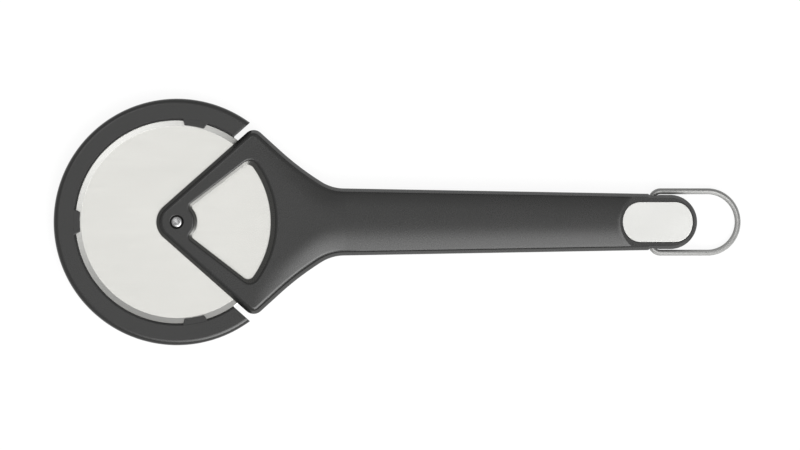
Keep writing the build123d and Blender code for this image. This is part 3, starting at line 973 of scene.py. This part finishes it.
def screw_mesh():
    """One screw on the axle, as it is driven from the back."""
    turns = np.arange(screw_sides) * 360 / screw_sides
    hexagon = socket_radius * cos(radians(30)) / np.cos(np.radians(turns % 60 - 30))
    top = screw_seat + screw_head_height
    socket_floor = top - socket_depth
    spots = [
        (hexagon * socket_floor_share, socket_floor),
        (hexagon, socket_floor + socket_floor_bend),
        (hexagon, top - socket_chamfer),
        (hexagon + socket_chamfer, top),
    ]
    for out, down in rounded(screw_head_edge, 6):
        spots.append((screw_head_radius - screw_head_edge + out, top - down))
    spots += [
        (screw_head_radius, screw_seat),
        (screw_shank_radius, screw_seat),
        (screw_shank_radius, screw_point_length - screw_reach),
        (screw_shank_radius - screw_point_taper, -screw_reach),
    ]
    unit = circle((0, 0), 1, screw_sides)
    return capped("screw", [(unit * np.broadcast_to(r, screw_sides)[:, None], -z) for r, z in spots])


tree, given, result = node_tree("screws_in_place", Screw="Object", Finish="Material", Seed="Int")
screw = outlet(tree, "ObjectInfo", {"Object": given["Screw"]}, out="Geometry")
turn = {"Max": (0, 0, radians(60)), "Seed": given["Seed"]}
turn = outlet(tree, "FunctionNodeRandomValue", turn, data_type="FLOAT_VECTOR")
driven = outlet(tree, "InstanceOnPoints", {"Points": given["Geometry"], "Instance": screw, "Rotation": turn})
tree_end(tree, driven, given["Finish"], result)

screw_finish = brushed_steel(
    "screw_steel", dark=(0.42, 0.42, 0.41), light=(0.5, 0.5, 0.49), roughness=(0.29, 0.39)
)
pattern = screw_mesh()
screws = rough_object("screws", [(x, y, 0.0) for x, y in screw_places], [])
screws = grown(screws, tree, Screw=pattern, Finish=screw_finish, Seed=7)
bpy.data.objects.remove(pattern)
finished(screws)
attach(screws, "handle")
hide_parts("shell_screws")

# Blade guard
# An open ring moulded in the same dark plastic as the handle, pushed over the blade's edge.
# Its outer edges are well rounded, and short tabs on both sides of the blade keep it in place.
guard_radius = 60.45
guard_inner_radius = 50.75
guard_half = half_size("blade_guard", 2)
guard_edge_radius = 2.45
guard_inner_edge = 0.05
guard_edge_cut = 0.9
guard_lip_radius = 49.0
guard_end = 12.7
guard_end_edge = 0.15
tab_tip_radius = 47.5
tab_root_radius = 51.775
tab_half_angle = 6.05
tab_slant = 1.5
tab_foot = 0.8
tab_top = 2.1
tab_corner_radius = 0.7
tab_edge_radius = 0.3
front_tab_angles = (180.0, 79.65, -79.65)
back_tab_angles = (130.0, -130.0)


def guard_section(inset):
    """Closed section (radius, height) of the ring, moved inwards, with a lip behind the blade's edge."""
    # Each corner: place across, height, radius of its edge, and the angle where its bend starts
    corners = (
        (guard_radius, guard_half, guard_edge_radius, 0),
        (guard_inner_radius, guard_half, guard_inner_edge, 90),
        (guard_inner_radius, -tab_foot, 0, 90),
        (guard_lip_radius, -tab_foot, guard_inner_edge, 90),
        (guard_lip_radius, -tab_top, guard_inner_edge, 180),
        (guard_inner_radius, -tab_top, 0, 180),
        (guard_inner_radius, -guard_half, guard_inner_edge, 180),
        (guard_radius, -guard_half, guard_edge_radius, 270),
    )
    section = []
    for across, height, radius, start in corners:
        inward = -1 if across == guard_radius else 1
        middle = -1 if start < 180 else 1
        if not radius:
            section.append((across + inset * inward, height + inset * middle))
            continue
        center = (across + radius * inward, height + radius * middle)
        bend = arc(center, radius - min(inset, radius * guard_edge_cut), start, start + 90, 7)
        # A place on the flat face beside the bend keeps its shading flat
        lead = (flat_lead * inward, 0)
        section += [*bend, bend[-1] + lead] if start in (0, 180) else [bend[0] + lead, *bend]
    return section


def guard_ring():
    """The ring from one end to the other. Both ends lie square to the handle's fork edges."""
    stations = []
    for t in np.radians((0, 30, 60, 90)):
        inset, back = guard_end_edge * (1 - sin(t)), guard_end_edge * (1 - cos(t))
        stations.append([(r, z, fork + asin((guard_end + back) / r)) for r, z in guard_section(inset)])
    first_end = stations[::-1]
    for share in np.linspace(0, 1, 181)[1:-1]:
        stations.append([(r, z, a + (2 * np.pi - 2 * a) * share) for r, z, a in first_end[0]])
    for station in first_end:
        stations.append([(r, z, -a) for r, z, a in station])
    rows = [([(r * cos(a), r * sin(a)) for r, z, a in s], [z for r, z, a in s]) for s in stations]
    return capped("ring", rows)


def tab_loop(inset):
    """Outline of a tab on the X axis, moved inwards."""
    corner = tab_corner_radius - inset
    middle = tab_tip_radius + tab_corner_radius
    turn = tab_half_angle - degrees(tab_corner_radius / middle)
    slant = degrees(atan2(radians(tab_slant) * tab_root_radius, tab_root_radius - tab_tip_radius))
    tip = arc((0, 0), tab_tip_radius + inset, 0, turn, 8)
    center = (middle * cos(radians(turn)), middle * sin(radians(turn)))
    bend = arc(center, corner, 180 + turn, 90 + turn + slant, 6)
    root_turn = radians(tab_half_angle + tab_slant) - inset / tab_root_radius
    root = (tab_root_radius * cos(root_turn), tab_root_radius * sin(root_turn))
    return closed(tip, bend[1:], root, (tab_root_radius, 0))


def guard_tab():
    """One tab for the front of the blade."""
    rows = [(tab_loop(0), tab_foot)]
    for out, down in reversed(rounded(tab_edge_radius, 4)):
        rows.append((tab_loop(tab_edge_radius - out), tab_top - down))
    return capped("tab", rows)


tree, given, result = node_tree("ring_with_tabs", Ring="Object", Tab="Object", Finish="Material")
ring = outlet(tree, "ObjectInfo", {"Object": given["Ring"]}, out="Geometry")
tab = outlet(tree, "ObjectInfo", {"Object": given["Tab"]}, out="Geometry")
turn = outlet(tree, "InputNamedAttribute", {"Name": "turn"}, data_type="FLOAT_VECTOR")
tabs = outlet(tree, "InstanceOnPoints", {"Points": given["Geometry"], "Instance": tab, "Rotation": turn})
tabs = outlet(tree, "RealizeInstances", {"Geometry": tabs})
joined = add_node(tree, "MeshBoolean", operation="UNION", solver="EXACT")
tree.links.new(ring, joined.inputs[1])
tree.links.new(tabs, joined.inputs[1])
tree_end(tree, joined.outputs["Mesh"], given["Finish"], result)

guard_finish = moulded_plastic(
    "guard_plastic", dark=(0.014, 0.014, 0.0135), light=(0.016, 0.016, 0.0155),
    roughness=(0.25, 0.31), grain=0.1,
)
turns = [(0, 0, radians(a)) for a in front_tab_angles]
turns += [(np.pi, 0, radians(a)) for a in back_tab_angles]
seats = bpy.data.meshes.new("guard")
seats.from_pydata([(0, 0, 0)] * len(turns), [], [])
seats.attributes.new("turn", "FLOAT_VECTOR", "POINT").data.foreach_set("vector", np.array(turns).ravel())
ring, tab = guard_ring(), guard_tab()
guard = grown(placed("guard", seats), tree, Ring=ring, Tab=tab, Finish=guard_finish)
bpy.data.objects.remove(ring)
bpy.data.objects.remove(tab)
finished(guard)
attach(guard, "guard")
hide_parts("blade_guard")

# Hanging loop
# One length of drawn stainless wire, bent cold. Its two ends turn in seats between the shells, and the
# loop droops from them until its bow lies on the table. Drawing leaves fine streaks along the wire.
wire_end = 7.0
loop_arm = 43.08
loop_droop = asin((half_thickness - seat_radius) / loop_arm)
bend = arc((loop_bend_radius, mouth_y), loop_bend_radius, 180, 90, 14)
bow = arc((loop_arm - loop_half, 0), loop_half, 90, 0, 40)
leg = straight(bend[-1], bow[0], 24)
route = np.vstack(([(0, wire_end)], bend, leg, bow))
route = np.vstack((route, route[-2::-1] * (1, -1)))
wire = bpy.data.curves.new("loop", "CURVE")
wire.dimensions = "3D"
line = wire.splines.new("POLY")
line.points.add(len(route) - 1)
for point, (along, across) in zip(line.points, route):
    point.co = (pivot_x + along * cos(loop_droop), across, -along * sin(loop_droop), 1)

tree, given, result = node_tree("drawn_wire", Radius="Float", Sides="Int", Finish="Material")
section = outlet(tree, "CurvePrimitiveCircle", {"Radius": given["Radius"], "Resolution": given["Sides"]})
around = add_node(tree, "CaptureAttribute", {"Geometry": section})
around.capture_items.new("VECTOR", "Place")
tree.links.new(outlet(tree, "InputPosition"), around.inputs["Place"])
along = add_node(tree, "CaptureAttribute", {"Geometry": given["Geometry"]})
along.capture_items.new("FLOAT", "Reach")
tree.links.new(outlet(tree, "SplineParameter", out="Length"), along.inputs["Reach"])
tube = {"Curve": along.outputs[0], "Profile Curve": around.outputs[0], "Fill Caps": True}
tube = outlet(tree, "CurveToMesh", tube)
split = add_node(tree, "ShaderNodeSeparateXYZ", {"Vector": around.outputs["Place"]}).outputs
lay = {"X": split["X"], "Y": split["Y"], "Z": along.outputs["Reach"]}
lay = {"Geometry": tube, "Name": "lay", "Value": outlet(tree, "ShaderNodeCombineXYZ", lay)}
lay = outlet(tree, "StoreNamedAttribute", lay, data_type="FLOAT_VECTOR")
tree_end(tree, lay, given["Finish"], result)


def drawn_steel(name, dark, light, roughness):
    """Wire pulled through a die: long streaks side by side round the section."""
    steel = Finish(name, Metallic=1.0)
    lay = outlet(steel.tree, "Attribute", attribute_name="lay", out="Vector")
    streaks = steel.noise(scale=(1.3, 1.3, 0.012), detail=1.0, space=lay)
    steel.tint(steel.ramp(streaks, start=0.38, end=0.62), dark, light)
    steel.shine(streaks, roughness)
    steel.relief(streaks, depth=0.00002, strength=0.5)
    return steel.material


wire_finish = drawn_steel(
    "wire_steel", dark=(0.22, 0.22, 0.216), light=(0.42, 0.42, 0.412), roughness=(0.6, 0.72)
)
loop = grown(placed("loop", wire), tree, Radius=wire_radius, Sides=32, Finish=wire_finish)
finished(loop)
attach(loop, "loop")
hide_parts("hanging_loop")

# Camera
# A long lens straight above the cutter and square to its face, as the photograph shows it.
# It stands far off, so that the thickness of the cutter shows almost no perspective.
view_width = 0.3922
view_distance = 6.0
view_middle = (0.00134, -0.00149)
lens = bpy.data.cameras.new("camera")
lens.sensor_width = 36
lens.lens = lens.sensor_width * view_distance / view_width
lens.clip_end = 40
camera = placed("camera", lens)
camera.location = (*view_middle, axle.z + view_distance)
scene.camera = camera

# Floor and light
# A plain pale floor that is white to the camera and in reflections, and keeps the cutter's shadow.
# Two large soft lamps stand at the lower right, and two smaller ones almost overhead.
scene.view_settings.view_transform = "Standard"
floor_reach = 20
floor_mesh = bpy.data.meshes.new("floor")
corners = [(x * floor_reach, y * floor_reach, 0) for x, y in ((-1, -1), (1, -1), (1, 1), (-1, 1))]
floor_mesh.from_pydata(corners, [], [(0, 1, 2, 3)])
floor = placed("floor", floor_mesh)
floor_finish = bpy.data.materials.new("floor")
floor_finish.use_nodes = True
tree = floor_finish.node_tree
tree.nodes.clear()
paths = add_node(tree, "LightPath").outputs
seen = paths["Is Camera Ray"]
for ray in ("Is Glossy Ray", "Is Transmission Ray"):
    seen = outlet(tree, "Math", {0: seen, 1: paths[ray]}, operation="MAXIMUM")
plain = outlet(tree, "BsdfDiffuse", {"Color": (0.8, 0.8, 0.8, 1)})
pale = outlet(tree, "BsdfDiffuse", {"Color": (0.1, 0.1, 0.1, 1)})
glow = outlet(tree, "Emission", {"Color": (1, 1, 1, 1), "Strength": 0.9})
white = outlet(tree, "AddShader", {0: pale, 1: glow})
top = outlet(tree, "MixShader", {0: seen, 1: plain, 2: white})
below = outlet(tree, "NewGeometry", out="Backfacing")
clear = outlet(tree, "BsdfTransparent")
sheet = outlet(tree, "MixShader", {0: below, 1: top, 2: clear})
add_node(tree, "OutputMaterial", {"Surface": sheet})
dress(floor, floor_finish)

world = bpy.data.worlds.new("studio")
world.use_nodes = True
sky = world.node_tree.nodes["Background"].inputs
sky["Color"].default_value = (1, 1, 1, 1)
sky["Strength"].default_value = 0.55
scene.world = world
lamp_distance = 5.5


def softbox(name, azimuth, tilt, width, height, radiance):
    """A rectangular lamp aimed at the cutter from a compass angle, tilted from straight up."""
    lamp = bpy.data.lights.new(name, "AREA")
    lamp.shape = "RECTANGLE"
    lamp.size, lamp.size_y = width, height
    lamp.energy = radiance * np.pi * width * height
    compass, lean = radians(azimuth), radians(tilt)
    away = Vector((sin(lean) * cos(compass), sin(lean) * sin(compass), cos(lean)))
    thing = placed(name, lamp)
    thing.location = away * lamp_distance
    thing.rotation_mode = "QUATERNION"
    thing.rotation_quaternion = away.to_track_quat("Z", "Y")


softbox("ceiling", azimuth=135, tilt=3, width=2.0, height=2.0, radiance=0.28)
softbox("overhead", azimuth=-52, tilt=34.5, width=4.9, height=4.9, radiance=3.8)
softbox("key", azimuth=-56, tilt=44, width=3.4, height=3.0, radiance=3.1)
softbox("fill", azimuth=132, tilt=19, width=1.3, height=1.3, radiance=3.1)
